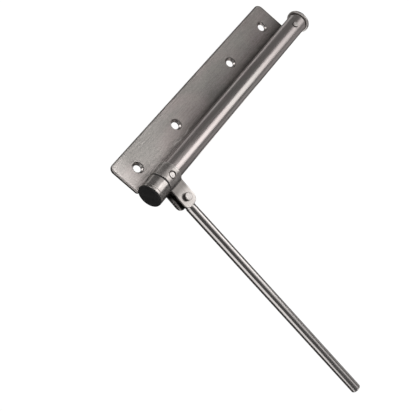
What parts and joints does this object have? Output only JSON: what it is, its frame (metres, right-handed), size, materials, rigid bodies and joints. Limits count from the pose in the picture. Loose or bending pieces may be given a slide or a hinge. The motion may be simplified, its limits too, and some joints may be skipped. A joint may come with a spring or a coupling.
{
  "type": "spring door closer",
  "caption": "Tube-type spring door closer: a screw-on plate carries a sprung tube whose folded lever swings a long rod that pushes the door shut.",
  "frame": {"origin": "on the plate's back face, in the middle of the line of screw holes", "axes": "+Z out of the mounting face, towards the viewer; +Y along the tube from the lever to the tension cap; +X from the screw line towards the tube and rod"},
  "size_m": [0.2557, 0.2288, 0.0724],
  "materials": {
    "plate_steel": "brushed along the tube",
    "tube_steel": "satin, drawn along the tube",
    "weld_steel": "as welded",
    "turned_steel": "fine turned",
    "pin_steel": "bright",
    "spring_steel": "oiled",
    "strap_steel": "brushed",
    "rod_steel": "polished",
    "pale_nylon": "matte",
    "black_plastic": "matte"
  },
  "bodies": {
    "base": {"mounting_plate": "plate_steel", "barrel_tube": "tube_steel", "tack_welds": "weld_steel", "tension_cap": "turned_steel", "spindle_bush": "pale_nylon", "torsion_spring": "spring_steel"},
    "lever": {"spindle": "turned_steel", "retaining_ring": "spring_steel", "lever_bracket": "strap_steel", "drive_pin": "pin_steel", "spacer_washer": "black_plastic", "end_collar": "turned_steel", "end_plug": "black_plastic", "rod_rivet": "pin_steel"},
    "rod": {"lever_rod": "rod_steel"},
    "tension_lock": {"tension_pin": "pin_steel"}
  },
  "joints": [
    {"name": "lever_turn", "type": "hinge", "parent": "base", "child": "lever", "pos_m": [0.0195, 0, 0.0105], "axis": [0, -1, 0], "range_deg": [0, 165], "stiffness_Nm_per_rad": 0.5, "deforming": ["torsion_spring"]},
    {"name": "rod_fold", "type": "hinge", "parent": "lever", "child": "rod", "pos_m": [0.03882, -0.0897, 0.00532], "axis": [0.2588, 0, 0.9659], "range_deg": [-90, 85]},
    {"name": "pin_pull", "type": "slide", "parent": "base", "child": "tension_lock", "axis": [0, 0, 1], "range_m": [0, 0.004]}
  ]
}
